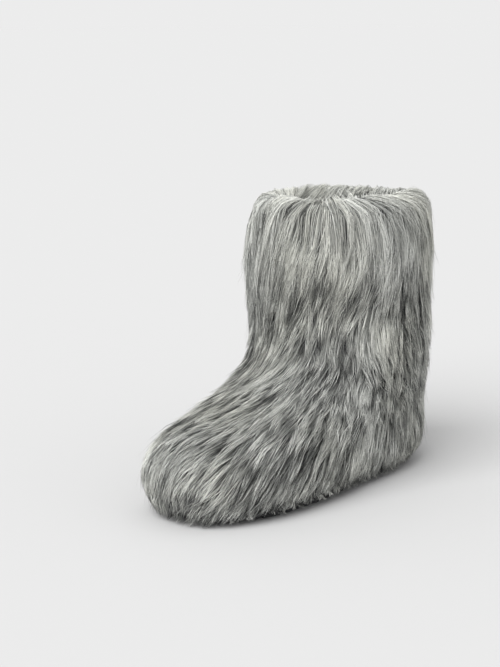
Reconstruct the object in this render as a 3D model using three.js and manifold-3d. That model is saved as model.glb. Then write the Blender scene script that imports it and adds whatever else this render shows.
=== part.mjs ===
// A left snow boot with a long-pile fur outside, standing on its sole.
// Millimetres, +Z up, toe towards -Y, the wearer's outer side towards +X.
// The fur is one thick solid drawn over a thin hollow upper, folded over the
// collar and a little way down inside, with its larger locks joined on.
import * as THREE from 'three';
import { mergeVertices } from 'three/addons/utils/BufferGeometryUtils.js';
import Module from 'manifold-3d';

const wasm = await Module();
wasm.setup();

// Inside sizes of the boot
const LAST_LENGTH = 250; // from under the shaft's back to the toe
const BALL_WIDTH = 96; // at the ball of the foot
const INSTEP_HEIGHT = 136; // floor to where the vamp meets the shaft
const COLLAR_HEIGHT = 240; // floor to the upper's top edge where it is highest
const COLLAR_DIP = 8; // how much lower that edge is on the opposite side
const COLLAR_HIGH = 0.37; // place round the boot where it is highest
const SHAFT_LENGTH = 130; // front to back at the collar
const SHAFT_WIDTH = 118; // side to side at the collar
const HEEL_BULGE = 13; // how far the heel stands out behind the shaft's foot
const TOE_SWING = 7; // how far the toe curves towards the inner side
const WAIST_INNER = 7; // how far the sole's outline is drawn in at the arch
const WAIST_OUTER = 3;

// The wall, the soles and the fit of the pieces
const WALL = 3; // fur cloth with its lining
const GAP = 0.3; // between pieces that meet
const SOLE_HEEL = 18; // floor to the top of the outsole
const SOLE_BALL = 14;
const TOE_SPRING = 7;
const HEEL_SPRING = 2.5;
const ARCH_LIFT = 2; // of the tread under the arch
const SOLE_REVEAL = 1.6; // how far the outsole stands out past the upper
const SOLE_STEP = 1.2; // depth of the step round the outsole's side
const SOLE_CHAMFER = 0.8; // at the outsole's edges
const INSOLE_THICK = 5;
const INSOLE_DISH = 2; // how much lower the insole's middle is than its edge
const INSOLE_RIM = 12; // width of the slope between them

// The tread
const LUG_DEPTH = 3.5;
const LUG_ROOT = 1.5; // how far a lug reaches up into the sole
const EDGE_LUGS = 28; // round the outsole
const EDGE_LUG_FILL = 0.76; // share of the edge that they take
const EDGE_LUG_DEPTH = 15; // in from the edge
const BAR_PITCH = 17; // heel to toe, between the bars of the middle
const BAR_WIDTH = 11;
const BAR_POINT = 7; // how far forward the middle of a bar points
const BAR_GROOVE = 4; // between the bars and the lugs round the edge

// The fur
const PILE_SHAFT = 15; // depth over the shaft
const PILE_FOOT = 14;
const PILE_HEM = 13; // depth at the lower edge, over the outsole's side
const PILE_INSIDE = 9; // inside the collar
const RIM_RISE = 12; // of the fur over the upper's top edge
const TURN_IN = 36; // how far the fur goes down inside
const HEM_HEIGHT = 4; // floor to the fur's lower edge
const LOCK_THICK = 5; // of the joined locks, at their fullest
const LOCK_ROOT = 4; // how deep their roots lie in the fur

// How finely the curved pieces are divided
const COLUMNS = 36; // round the boot
const UPPER_ROWS = 13; // from sole to collar
const ROLL_ROWS = 4; // over the collar
const INSIDE_ROWS = 2; // down inside

const TAU = 2 * Math.PI;
const { lerp, smoothstep, clamp } = THREE.MathUtils;

// A table's rows as objects with named columns.
function table(names, rows) {
  return rows.map((row) => Object.fromEntries(row.map((value, i) => [names[i], value])));
}

// Sections of the last, from the sole's edge up to the collar.
// toe: place of the front point, from the shaft's front (0) to the toe's end (1)
// frontUp, backUp: height of the front and back points, as shares of the instep
// frontLeg, backLeg: their height above the instep, as shares of the shaft
// heel: how far the back point stands out, as a share of HEEL_BULGE
// foot, leg: half width, as shares of the ball's and the shaft's half widths
// widest: place of the widest point, from back to front
// frontRound, backRound: 2 is an ellipse, and more is squarer
const SECTIONS = table(
  [
    'toe', 'frontUp', 'frontLeg', 'backUp', 'backLeg',
    'heel', 'foot', 'leg', 'widest', 'frontRound', 'backRound',
  ],
  [
    [1.03, 0.00, 0.00, 0.00, 0.00, 0.8, 0.95, 0.00, 0.66, 2.6, 2.4],
    [1.07, 0.12, 0.00, 0.13, 0.00, 1.0, 1.00, 0.00, 0.64, 2.4, 2.4],
    [1.02, 0.25, 0.00, 0.28, 0.00, 1.0, 0.98, 0.00, 0.62, 2.3, 2.4],
    [0.83, 0.38, 0.00, 0.45, 0.00, 0.9, 0.92, 0.03, 0.58, 2.1, 2.4],
    [0.51, 0.52, 0.00, 0.62, 0.00, 0.8, 0.77, 0.20, 0.54, 2.0, 2.4],
    [0.22, 0.67, 0.00, 0.79, 0.00, 0.6, 0.50, 0.48, 0.50, 2.0, 2.3],
    [0.07, 0.84, 0.00, 0.93, 0.00, 0.5, 0.20, 0.78, 0.50, 2.0, 2.3],
    [0.01, 1.00, 0.06, 1.00, 0.09, 0.4, 0.03, 0.96, 0.50, 2.0, 2.2],
    [0.00, 1.00, 0.35, 1.00, 0.36, 0.3, 0.00, 1.00, 0.50, 2.1, 2.1],
    [0.00, 1.00, 0.68, 1.00, 0.68, 0.3, 0.00, 1.00, 0.50, 2.1, 2.1],
    [0.00, 1.00, 1.00, 1.00, 1.00, 0.3, 0.00, 1.00, 0.50, 2.1, 2.1],
  ],
);

// Tiers of locks, from the hem up and over the collar.
// lift: where the roots are, on furPoint's scale
// length: down the outside, or down the inside if it is below 0
// count: locks round the boot
// wide: width at the fullest
// drift: how far a tip is carried towards the toe, as a share of its length
// proud: how far a tip stands out from the fur
// steps: stretches that a lock is bent in
const TIERS = table(
  ['lift', 'length', 'count', 'wide', 'drift', 'proud', 'steps'],
  [
    [0.09, 32, 17, 24, 0.25, 2.0, 2],
    [0.22, 44, 14, 30, 0.60, 2.5, 2],
    [0.36, 48, 12, 31, 0.75, 2.5, 2],
    [0.50, 52, 11, 31, 0.45, 2.5, 2],
    [0.65, 56, 10, 31, 0.20, 3.0, 2],
    [0.80, 58, 10, 31, 0.05, 3.0, 2],
    [0.95, 62, 9, 31, 0.00, 3.0, 2],
    [1.52, 58, 12, 27, 0.00, 2.0, 4],
    [1.60, -40, 7, 24, 0.00, 1.5, 2],
  ],
);

// One column of the sections at any height, on a Catmull-Rom curve through its rows.
function column(name, rise) {
  const place = clamp(rise, 0, 1) * (SECTIONS.length - 1);
  const row = Math.min(Math.floor(place), SECTIONS.length - 2);
  const at = (i) => SECTIONS[clamp(i, 0, SECTIONS.length - 1)][name];
  const t = place - row;
  const [p0, p1, p2, p3] = [at(row - 1), at(row), at(row + 1), at(row + 2)];
  return p1 + 0.5 * t * (p2 - p0 + t * (2 * p0 - 5 * p1 + 4 * p2 - p3 + t * (3 * (p1 - p2) + p3 - p0)));
}

// The highest number from 0 to 1 that still passes a test.
function lastPassing(test) {
  let [low, high] = [0, 1];
  for (let i = 0; i < 24; i++) {
    const middle = (low + high) / 2;
    if (test(middle)) low = middle;
    else high = middle;
  }
  return low;
}

// Height of the outsole's top and of the tread at a distance forward of the heel.
const forwardShare = (forward) => clamp(forward / LAST_LENGTH, -0.1, 1.1);
function soleTop(forward) {
  const share = forwardShare(forward);
  return lerp(SOLE_HEEL, SOLE_BALL, smoothstep(share, 0.25, 0.6)) + TOE_SPRING * smoothstep(share, 0.72, 1.1);
}
const toeSpring = (forward) => TOE_SPRING * smoothstep(forwardShare(forward), 0.78, 1.12);
function treadHeight(forward) {
  const share = forwardShare(forward);
  const arch = smoothstep(share, 0.3, 0.38) * (1 - smoothstep(share, 0.44, 0.52));
  return toeSpring(forward) + HEEL_SPRING * (1 - smoothstep(share, -0.06, 0.06)) + ARCH_LIFT * arch;
}

// How far the toe's curve carries a point towards the inner side.
const swing = (forward) => TOE_SWING * smoothstep(forward / LAST_LENGTH, 0.45, 1.05);

// A point of the last. around: 0 at the back, 0.25 at the outer side, 0.5 at the
// toe, 0.75 at the inner side. rise: 0 at the sole's edge, 1 at the collar.
function lastPoint(around, rise) {
  const c = Math.cos(TAU * around);
  const s = Math.sin(TAU * around);
  const power = 2 / column(c > 0 ? 'backRound' : 'frontRound', rise);
  const widest = column('widest', rise);
  const along = c > 0 ? widest * (1 - c ** power) : widest + (1 - widest) * (-c) ** power;
  const lowness = 1 - smoothstep(rise, 0.1, 0.5);
  const arch = Math.exp(-(((along - 0.4) / 0.16) ** 2)) * lowness;
  const waist = arch * (s > 0 ? WAIST_OUTER : WAIST_INNER);
  const half = (column('foot', rise) * BALL_WIDTH + column('leg', rise) * SHAFT_WIDTH) / 2 - waist;
  const back = -HEEL_BULGE * column('heel', rise);
  const front = SHAFT_LENGTH + back + column('toe', rise) * (LAST_LENGTH - SHAFT_LENGTH - back);
  const forward = lerp(back, front, along);
  const height = (up, leg) => column(up, rise) * (INSTEP_HEIGHT - SOLE_BALL)
    + column(leg, rise) * (COLLAR_HEIGHT - INSTEP_HEIGHT);
  const base = lerp(soleTop(forward) + GAP, SOLE_BALL, smoothstep(rise, 0, 0.4));
  const dip = COLLAR_DIP * smoothstep(rise, 0.65, 1) * (1 - Math.cos(TAU * (around - COLLAR_HIGH))) / 2;
  const up = lerp(height('backUp', 'backLeg'), height('frontUp', 'frontLeg'), along);
  const x = Math.sign(s) * Math.abs(s) ** power * half - swing(forward);
  return new THREE.Vector3(x, -forward, base + up - dip);
}

// The direction straight out of the last at a point.
function outward(around, rise) {
  const [low, high] = [Math.max(rise - 0.02, 0), Math.min(rise + 0.02, 1)];
  const across = lastPoint(around + 0.006, rise).sub(lastPoint(around - 0.006, rise));
  const up = lastPoint(around, high).sub(lastPoint(around, low));
  return up.cross(across).normalize();
}

// A point that lies a distance out from the last. Near the sole the way out is
// along the outsole's top, so that the edges of the pieces stay on it.
function shellPoint(around, rise, out) {
  const bend = smoothstep(rise, 0, 0.12);
  const way = outward(around, rise);
  way.z *= bend;
  const start = lastPoint(around, rise);
  const point = start.clone().addScaledVector(way.normalize(), out);
  point.z += (1 - bend) * (soleTop(-point.y) - soleTop(-start.y));
  return point;
}

// Depth of the fur over the upper.
const pileDepth = (rise) => lerp(PILE_FOOT, PILE_SHAFT, smoothstep(rise, 0.3, 0.75));

// The fur's outer surface. lift: below 0 down the hem, 0 to 1 up the boot, 1 to 2
// over the collar, 2 to 3 down inside. proud: distance out from that surface.
function furPoint(around, lift, proud = 0) {
  if (lift <= 0) {
    const hem = -lift;
    const out = WALL + lerp(pileDepth(0), SOLE_REVEAL + PILE_HEM, hem ** 2) + proud;
    const edge = shellPoint(around, 0, out);
    edge.z = lerp(edge.z, HEM_HEIGHT, hem);
    return edge;
  }
  if (lift <= 1) return shellPoint(around, lift, WALL + pileDepth(lift) + proud);
  const rim = shellPoint(around, 1, WALL / 2);
  const way = outward(around, 1).setZ(0).normalize();
  if (lift <= 2) {
    const turn = (lift - 1) * Math.PI;
    const reach = WALL / 2 + (turn < Math.PI / 2 ? PILE_SHAFT : PILE_INSIDE);
    rim.addScaledVector(way, Math.cos(turn) * (reach + proud));
    rim.z += Math.sin(turn) * (RIM_RISE + proud);
    return rim;
  }
  const down = Math.min(lift - 2, 1);
  rim.addScaledVector(way, -(WALL / 2 + lerp(PILE_INSIDE, PILE_INSIDE / 2, down ** 2) + proud));
  rim.z -= down * TURN_IN;
  return rim;
}

// Length of the fur's surface at the heel for each whole step of lift, and the
// lift that lies a length down the outside from another.
const LIFT_LENGTHS = table(
  ['from', 'length'],
  [
    [-1, SOLE_HEEL - HEM_HEIGHT],
    [0, COLLAR_HEIGHT - SOLE_HEEL],
    [1, Math.PI * RIM_RISE],
    [2, TURN_IN],
  ],
);
function liftBelow(lift, length) {
  let [place, left] = [lift, length];
  while (left !== 0) {
    const downward = left > 0;
    const step = downward ? Math.ceil(place) - 1 : Math.floor(place);
    const span = LIFT_LENGTHS[clamp(step + 1, 0, LIFT_LENGTHS.length - 1)].length;
    const end = downward ? step : step + 1;
    const room = (place - end) * span;
    if (Math.abs(left) <= Math.abs(room) || end <= -1 || end >= 3) return place - left / span;
    [place, left] = [end, left - room];
  }
  return place;
}

// A fixed run of random numbers, each from -1 to 1.
function randomRun(seed) {
  let state = seed;
  return () => {
    state = (state * 1664525 + 1013904223) % 4294967296;
    return state / 2147483648 - 1;
  };
}

// A ring of points round the boot, from any function of the place around.
const ring = (point) => Array.from({ length: COLUMNS }, (_, i) => point(i / COLUMNS));

// The faces between two rings. Their diagonals always run from the lower ring's
// point to the upper ring's next one, so that nested walls stay parallel.
function bandFaces(rings, from, to) {
  const count = rings[from].length;
  const [a, b] = [from * count, to * count];
  const rising = meanHeight(rings[to]) >= meanHeight(rings[from]);
  return rings[from].flatMap((_, i) => {
    const next = (i + 1) % count;
    return rising
      ? [a + i, b + next, a + next, a + i, b + i, b + next]
      : [a + i, b + i, a + next, a + next, b + i, b + next];
  });
}
const meanHeight = (points) => points.reduce((sum, p) => sum + p.z, 0) / points.length;

// A closed mesh from rings that join in order, and the last to the first.
function hoopGeometry(rings) {
  const index = rings.flatMap((_, r) => bandFaces(rings, r, (r + 1) % rings.length));
  return indexed(rings.flat(), index);
}

// A closed mesh from rings, its ends closed by rungs from side to side.
function slabGeometry(rings) {
  const count = rings[0].length;
  const index = rings.slice(1).flatMap((_, r) => bandFaces(rings, r, r + 1));
  const top = (rings.length - 1) * count;
  for (let i = 0; i < count / 2; i++) {
    const [a, b, c, d] = [i, i + 1, count - i - 1, (count - i) % count];
    const faces = [[a, b, c], [a, c, d]].filter((face) => new Set(face).size === 3);
    for (const [p, q, r] of faces) index.push(p, q, r, top + q, top + p, top + r);
  }
  return indexed(rings.flat(), index);
}

function indexed(points, index) {
  const geometry = new THREE.BufferGeometry().setFromPoints(points);
  geometry.setIndex(index);
  return geometry;
}

// A mesh's geometry as a solid, and a solid as a geometry.
function solidFrom(geometry) {
  const merged = mergeVertices(geometry, 1e-4);
  const triVerts = new Uint32Array(merged.index.array);
  const vertProperties = merged.attributes.position.array;
  return new wasm.Manifold(new wasm.Mesh({ numProp: 3, vertProperties, triVerts }));
}
function geometryFrom(solid) {
  const mesh = solid.getMesh();
  const geometry = new THREE.BufferGeometry();
  geometry.setAttribute('position', new THREE.BufferAttribute(mesh.vertProperties, 3));
  geometry.setIndex(new THREE.BufferAttribute(mesh.triVerts, 1));
  geometry.computeVertexNormals();
  return geometry;
}
const joined = (body, parts) => parts.reduce((sum, part) => sum.add(part), body);

// A solid without the small hollows that its joined parts may close in, and with
// faces that lie almost in one plane made one.
function cleaned(solid, tolerance) {
  const outer = solid.decompose().reduce((best, part) => (part.volume() > best.volume() ? part : best));
  return outer.asOriginal().simplify(tolerance);
}

// The heights of the upper's rows, and the upper: a hollow wall over the last,
// open at the collar and underneath.
const upperRises = Array.from({ length: UPPER_ROWS }, (_, i) => i / (UPPER_ROWS - 1));
function upperGeometry() {
  const outer = upperRises.map((rise) => ring((a) => shellPoint(a, rise, WALL)));
  const inner = upperRises.map((rise) => ring((a) => lastPoint(a, rise))).reverse();
  return hoopGeometry([...outer, ...inner]);
}

// The insole: a dished slab on the outsole's top, inside the foot of the upper.
function insoleGeometry() {
  const slope = INSOLE_THICK / (lastPoint(0, upperRises[1]).z - lastPoint(0, 0).z);
  const edge = (around, out, share) => {
    const low = shellPoint(around, 0, out);
    return low.lerp(shellPoint(around, upperRises[1], out), share);
  };
  const middle = (around, up) => {
    const point = shellPoint(around, 0, -GAP - INSOLE_RIM);
    point.z += up;
    return point;
  };
  return slabGeometry([
    ring((a) => middle(a, 0)),
    ring((a) => edge(a, -GAP, 0)),
    ring((a) => edge(a, -GAP, slope)),
    ring((a) => middle(a, INSOLE_THICK - INSOLE_DISH)),
  ]);
}

// The fur's body: out over the upper, over the collar and down inside, then back
// along the upper's wall to the hem.
function furBodySolid() {
  const steps = (count) => Array.from({ length: count }, (_, i) => (i + 1) / count);
  const over = steps(ROLL_ROWS).map((t) => 1 + t);
  const inside = steps(INSIDE_ROWS).map((t) => 2 + t);
  const skin = [-1, ...upperRises, ...over, ...inside].map((lift) => ring((a) => furPoint(a, lift)));
  const wallTop = (out) => ring((a) => shellPoint(a, 1, out).add(new THREE.Vector3(0, 0, GAP)));
  const turnedIn = lastPassing((rise) => lastPoint(0.25, rise).z < COLLAR_HEIGHT - TURN_IN);
  const lining = ring((a) => shellPoint(a, turnedIn, -GAP));
  const between = upperRises.slice(1, -1).reverse();
  const backed = between.map((rise) => ring((a) => shellPoint(a, rise, WALL + GAP)));
  const overSole = (around, height) => {
    const edge = shellPoint(around, 0, WALL + SOLE_REVEAL + GAP);
    edge.z = height(edge);
    return edge;
  };
  const foot = [(edge) => edge.z, () => HEM_HEIGHT].map((height) => ring((a) => overSole(a, height)));
  return solidFrom(hoopGeometry([...skin, lining, wallTop(-GAP), wallTop(WALL + GAP), ...backed, ...foot]));
}

// One lock, from its root to its tip. Its rings are lozenges round a path that
// leaves the fur, fullest before the middle, and on the foot the path leans
// towards the toe.
function lockSolid(tier, around, random) {
  const length = tier.length * (1 + 0.2 * random());
  const wide = tier.wide * (1 + 0.2 * random());
  const lean = (tier.drift * Math.sin(TAU * around) + 0.12 * random()) * Math.abs(length) / LAST_LENGTH / 2;
  const shares = Array.from({ length: tier.steps + 1 }, (_, i) => i / tier.steps);
  const path = shares.map((share) => {
    const place = around + lean * share;
    const lift = Math.max(liftBelow(tier.lift, length * share), -1);
    const point = furPoint(place, lift, lerp(-LOCK_ROOT, tier.proud, Math.sqrt(share)));
    const out = furPoint(place, lift, 1).sub(furPoint(place, lift, 0)).normalize();
    return { point, out };
  });
  const rings = path.map(({ point, out }, i) => {
    const full = Math.sin(Math.PI * lerp(0.18, 0.98, shares[i]));
    const ahead = path[Math.min(i + 1, tier.steps)].point.clone().sub(path[Math.max(i - 1, 0)].point);
    const side = ahead.cross(out).normalize().multiplyScalar(full * wide / 2);
    const thick = out.clone().multiplyScalar(full * LOCK_THICK);
    return [
      point.clone().addScaledVector(thick, 0.5),
      point.clone().sub(side),
      point.clone().sub(thick),
      point.clone().add(side),
    ];
  });
  return solidFrom(slabGeometry(rings));
}

function furLocks() {
  const random = randomRun(11);
  return TIERS.flatMap((tier, t) => Array.from({ length: tier.count }, (_, i) => {
    const around = (i + (t % 2) / 2 + 0.25 * random()) / tier.count;
    return lockSolid(tier, around, random);
  }));
}

// The outsole's outline, a distance out from the upper's lower edge.
const soleEdge = (around, out) => shellPoint(around, 0, WALL + out);
function soleRing(out, height) {
  return ring((a) => {
    const edge = soleEdge(a, out);
    edge.z = height(-edge.y);
    return edge;
  });
}

// One block of the tread under an outline of four corners, clockwise from above.
// It reaches up into the sole.
function lugSolid(corners) {
  const level = (up) => corners.map((p) => new THREE.Vector3(p.x, p.y, treadHeight(-p.y) + up));
  return solidFrom(slabGeometry([level(0), level(LUG_DEPTH + LUG_ROOT)]));
}

// Lugs round the edge, at equal steps along it.
function edgeLugs() {
  const edge = new THREE.CatmullRomCurve3(ring((a) => soleEdge(a, 0)), true);
  return Array.from({ length: EDGE_LUGS }, (_, i) => {
    const from = edge.getUtoTmapping(i / EDGE_LUGS);
    const to = edge.getUtoTmapping((i + EDGE_LUG_FILL) / EDGE_LUGS);
    return lugSolid([
      soleEdge(from, 0),
      soleEdge(to, 0),
      soleEdge(to, -EDGE_LUG_DEPTH),
      soleEdge(from, -EDGE_LUG_DEPTH),
    ]);
  });
}

// Bars across the middle, each bent forward at the centre line.
function middleBars() {
  const inset = -EDGE_LUG_DEPTH - BAR_GROOVE;
  const [back, front] = [0, 0.5].map((around) => -soleEdge(around, inset).y);
  const sideAt = (forward, side) => {
    const around = (t) => (side > 0 ? t / 2 : 1 - t / 2);
    return soleEdge(around(lastPassing((t) => -soleEdge(around(t), inset).y < forward)), inset);
  };
  const middleAt = (forward) => new THREE.Vector3(-swing(forward), -forward, 0);
  const count = Math.floor((front - back - BAR_POINT) / BAR_PITCH);
  return Array.from({ length: count }, (_, i) => {
    const from = back + (i + 0.5) * BAR_PITCH;
    const to = from + BAR_WIDTH;
    const half = (side) => [
      sideAt(from, side),
      middleAt(from + BAR_POINT),
      middleAt(to + BAR_POINT),
      sideAt(to, side),
    ];
    return lugSolid(half(1).reverse()).add(lugSolid(half(-1)));
  });
}

// The outsole: a step half way up its side, and lugs and bars underneath.
function outsoleSolid() {
  const base = (forward) => treadHeight(forward) + LUG_DEPTH;
  const middle = (forward) => lerp(base(forward), soleTop(forward), 0.5);
  const body = solidFrom(slabGeometry([
    soleRing(SOLE_REVEAL - SOLE_CHAMFER, base),
    soleRing(SOLE_REVEAL, (forward) => base(forward) + SOLE_CHAMFER),
    soleRing(SOLE_REVEAL, middle),
    soleRing(SOLE_REVEAL - SOLE_STEP, (forward) => middle(forward) + SOLE_CHAMFER),
    soleRing(SOLE_REVEAL - SOLE_STEP, (forward) => soleTop(forward) - SOLE_CHAMFER),
    soleRing(SOLE_REVEAL - SOLE_STEP - SOLE_CHAMFER, soleTop),
  ]));
  return joined(body, [...edgeLugs(), ...middleBars()]);
}

const boot = new THREE.Group();
function addPiece(name, geometry, color, roughness) {
  const material = new THREE.MeshStandardMaterial({ color, roughness, metalness: 0 });
  const mesh = new THREE.Mesh(geometry, material);
  mesh.name = name;
  boot.add(mesh);
}
addPiece('outsole', geometryFrom(outsoleSolid()), 0x1d1e1f, 0.75);
addPiece('insole', insoleGeometry(), 0x4c4a47, 0.95);
addPiece('upper', upperGeometry(), 0x6c6d6b, 0.9);
addPiece('fur', geometryFrom(cleaned(joined(furBodySolid(), furLocks()), GAP / 3)), 0x9c9d9a, 0.95);

// The origin is on the floor, under the middle of the boot.
const extent = new THREE.Box3().setFromObject(boot);
const middle = extent.getCenter(new THREE.Vector3());
boot.position.set(-middle.x, -middle.y, -extent.min.z);

export default boot;
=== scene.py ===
"""A left snow boot with long grey pile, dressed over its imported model.

The pile is drawn in two parts: a dark underfur, which is a closed sheet with its own lumps,
and guard hair, which is many thin tapered strands gathered into locks. Both follow the same
surface, worked out from the boot's sizes and a short table of sections.
"""

import bpy
import numpy as np
from mathutils import Matrix, Vector


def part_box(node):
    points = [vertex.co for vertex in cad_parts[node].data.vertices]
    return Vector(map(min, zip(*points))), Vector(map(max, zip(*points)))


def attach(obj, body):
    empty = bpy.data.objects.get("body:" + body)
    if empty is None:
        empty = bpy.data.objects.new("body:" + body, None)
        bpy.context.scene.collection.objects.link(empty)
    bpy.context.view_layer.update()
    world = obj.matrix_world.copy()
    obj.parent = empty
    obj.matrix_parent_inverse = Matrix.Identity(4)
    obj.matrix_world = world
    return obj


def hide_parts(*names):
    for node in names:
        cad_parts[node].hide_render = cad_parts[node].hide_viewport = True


bl_info = {
    "name": "Pile snow boot",
    "version": (1, 0, 0),
    "blender": (4, 5, 0),
    "location": "View3D > Sidebar > Boot",
    "description": "Underfur, guard hair, lining and sole of a pull-on boot with long pile",
    "category": "Add Mesh",
}

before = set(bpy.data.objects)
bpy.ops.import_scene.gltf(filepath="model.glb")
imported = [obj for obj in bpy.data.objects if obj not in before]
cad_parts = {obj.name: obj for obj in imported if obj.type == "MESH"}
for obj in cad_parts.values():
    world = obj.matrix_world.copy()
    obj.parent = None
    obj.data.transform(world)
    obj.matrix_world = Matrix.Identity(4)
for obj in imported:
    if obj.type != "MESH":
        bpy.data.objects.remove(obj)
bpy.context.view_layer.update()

TAU = 2 * np.pi
MM = 0.001

# Sizes of the boot, in millimetres
LAST_LENGTH = 250
BALL_WIDTH = 96
INSTEP_HEIGHT = 136
COLLAR_HEIGHT = 240
COLLAR_DIP = 8
COLLAR_HIGH = 0.37
SHAFT_LENGTH = 130
SHAFT_WIDTH = 118
HEEL_BULGE = 13
TOE_SWING = 7
WAIST_INNER = 7
WAIST_OUTER = 3
WALL = 3
GAP = 0.3
SOLE_HEEL = 18
SOLE_BALL = 14
SOLE_REVEAL = 1.6
TOE_SPRING = 7
PILE_SHAFT = 15
PILE_FOOT = 14
PILE_HEM = 13
PILE_INSIDE = 9
RIM_RISE = 12
TURN_IN = 36
HEM_HEIGHT = 4
UPPER_COLUMNS = 36
UPPER_ROWS = 13

# Sections of the last, from the sole's edge up to the collar, as shares of those sizes
SECTION_COLUMNS = (
    "toe", "front_up", "front_leg", "back_up", "back_leg",
    "heel", "foot", "leg", "widest", "front_round", "back_round",
)
SECTION_ROWS = np.array([
    [1.03, 0.00, 0.00, 0.00, 0.00, 0.8, 0.95, 0.00, 0.66, 2.6, 2.4],
    [1.07, 0.12, 0.00, 0.13, 0.00, 1.0, 1.00, 0.00, 0.64, 2.4, 2.4],
    [1.02, 0.25, 0.00, 0.28, 0.00, 1.0, 0.98, 0.00, 0.62, 2.3, 2.4],
    [0.83, 0.38, 0.00, 0.45, 0.00, 0.9, 0.92, 0.03, 0.58, 2.1, 2.4],
    [0.51, 0.52, 0.00, 0.62, 0.00, 0.8, 0.77, 0.20, 0.54, 2.0, 2.4],
    [0.22, 0.67, 0.00, 0.79, 0.00, 0.6, 0.50, 0.48, 0.50, 2.0, 2.3],
    [0.07, 0.84, 0.00, 0.93, 0.00, 0.5, 0.20, 0.78, 0.50, 2.0, 2.3],
    [0.01, 1.00, 0.06, 1.00, 0.09, 0.4, 0.03, 0.96, 0.50, 2.0, 2.2],
    [0.00, 1.00, 0.35, 1.00, 0.36, 0.3, 0.00, 1.00, 0.50, 2.1, 2.1],
    [0.00, 1.00, 0.68, 1.00, 0.68, 0.3, 0.00, 1.00, 0.50, 2.1, 2.1],
    [0.00, 1.00, 1.00, 1.00, 1.00, 0.3, 0.00, 1.00, 0.50, 2.1, 2.1],
])
SECTIONS = dict(zip(SECTION_COLUMNS, SECTION_ROWS.T))


# Numbers and vectors
def smoothstep(x, low, high):
    """0 below low and 1 above high, with a smooth s-curve between them."""
    t = np.clip((x - low) / (high - low), 0, 1)
    return t * t * (3 - 2 * t)


def mix(a, b, share):
    """A straight blend from a to b."""
    return a + (b - a) * share


def unit(vectors):
    """Each vector divided by its length."""
    return vectors / np.maximum(np.linalg.norm(vectors, axis=-1, keepdims=True), 1e-12)


def bell(x, centre, width):
    """A bell curve: 1 at its centre, and about a third at a width from it."""
    return np.exp(-(((x - centre) / width) ** 2))


def turn_off(around, centre):
    """How far round the boot from a place, from -0.5 to 0.5, over the seam at the heel too."""
    return (around - centre + 0.5) % 1 - 0.5


def waves(points, size, seed):
    """Smooth noise from about -1 to 1: the mean of nine sine waves of about one length, each in a
    direction of its own."""
    rng = np.random.default_rng(seed)
    ways = unit(rng.normal(size=(9, 3))) * rng.uniform(0.7, 1.4, (9, 1))
    phases = rng.uniform(0, TAU, 9)
    return 1.7 * np.sin(points @ ways.T * TAU / size + phases).mean(-1)


# The boot's surfaces
def column(name, rise):
    """One column of the sections at any height, on a Catmull-Rom curve through its rows."""
    values = SECTIONS[name]
    last = len(values) - 1
    place = np.clip(rise, 0, 1) * last
    row = np.minimum(np.floor(place).astype(int), last - 1)
    t = place - row
    p0, p1, p2, p3 = (values[np.clip(row + i, 0, last)] for i in (-1, 0, 1, 2))
    return p1 + 0.5 * t * (p2 - p0 + t * (2 * p0 - 5 * p1 + 4 * p2 - p3 + t * (3 * (p1 - p2) + p3 - p0)))


def sole_top(forward):
    """Height of the outsole's top: it falls from heel to ball and rises again at the toe."""
    share = np.clip(forward / LAST_LENGTH, -0.1, 1.1)
    flat = mix(SOLE_HEEL, SOLE_BALL, smoothstep(share, 0.25, 0.6))
    return flat + TOE_SPRING * smoothstep(share, 0.72, 1.1)


def far_side(around):
    """0 where the collar is highest, rising to 1 on the side that faces it."""
    return (1 - np.cos(TAU * (around - COLLAR_HIGH))) / 2


def last_point(around, rise):
    """A point of the last. around runs from the heel by the outer side (0.25) to the toe (0.5) and
    back by the inner side, and rise from the sole's edge to the collar. Each section is two half
    superellipses in a plane that slopes from its back point to its front point."""
    c, s = np.cos(TAU * around), np.sin(TAU * around)
    behind = c > 0
    power = 2 / np.where(behind, column("back_round", rise), column("front_round", rise))
    widest = column("widest", rise)
    reach = np.abs(c) ** power
    along = np.where(behind, widest * (1 - reach), widest + (1 - widest) * reach)
    arch = bell(along, 0.4, 0.16) * (1 - smoothstep(rise, 0.1, 0.5))
    waist = arch * np.where(s > 0, WAIST_OUTER, WAIST_INNER)
    half = (column("foot", rise) * BALL_WIDTH + column("leg", rise) * SHAFT_WIDTH) / 2 - waist
    back = -HEEL_BULGE * column("heel", rise)
    front = SHAFT_LENGTH + back + column("toe", rise) * (LAST_LENGTH - SHAFT_LENGTH - back)
    forward = mix(back, front, along)
    swing = TOE_SWING * smoothstep(forward / LAST_LENGTH, 0.45, 1.05)
    back_up, front_up = (
        column(end + "_up", rise) * (INSTEP_HEIGHT - SOLE_BALL)
        + column(end + "_leg", rise) * (COLLAR_HEIGHT - INSTEP_HEIGHT)
        for end in ("back", "front")
    )
    base = mix(sole_top(forward) + GAP, SOLE_BALL, smoothstep(rise, 0, 0.4))
    dip = COLLAR_DIP * smoothstep(rise, 0.65, 1) * far_side(around)
    x = np.sign(s) * np.abs(s) ** power * half - swing
    return np.stack([x, -forward, base + mix(back_up, front_up, along) - dip], -1)


def outward(around, rise):
    """The direction straight out of the last: the cross product of the ways up and across."""
    across = last_point(around + 0.006, rise) - last_point(around - 0.006, rise)
    up = last_point(around, np.minimum(rise + 0.02, 1)) - last_point(around, np.maximum(rise - 0.02, 0))
    return unit(np.cross(up, across))


def shell_point(around, rise, out):
    """A point that lies a distance out from the last, measured along the sole's top near the sole."""
    bend = smoothstep(rise, 0, 0.12)
    way = outward(around, rise)
    way[..., 2] *= bend
    start = last_point(around, rise)
    point = start + unit(way) * np.asarray(out)[..., None]
    point[..., 2] += (1 - bend) * (sole_top(-point[..., 1]) - sole_top(-start[..., 1]))
    return point


def pile_depth(rise):
    """Depth of the pile over the upper."""
    return mix(PILE_FOOT, PILE_SHAFT, smoothstep(rise, 0.3, 0.75))


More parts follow.
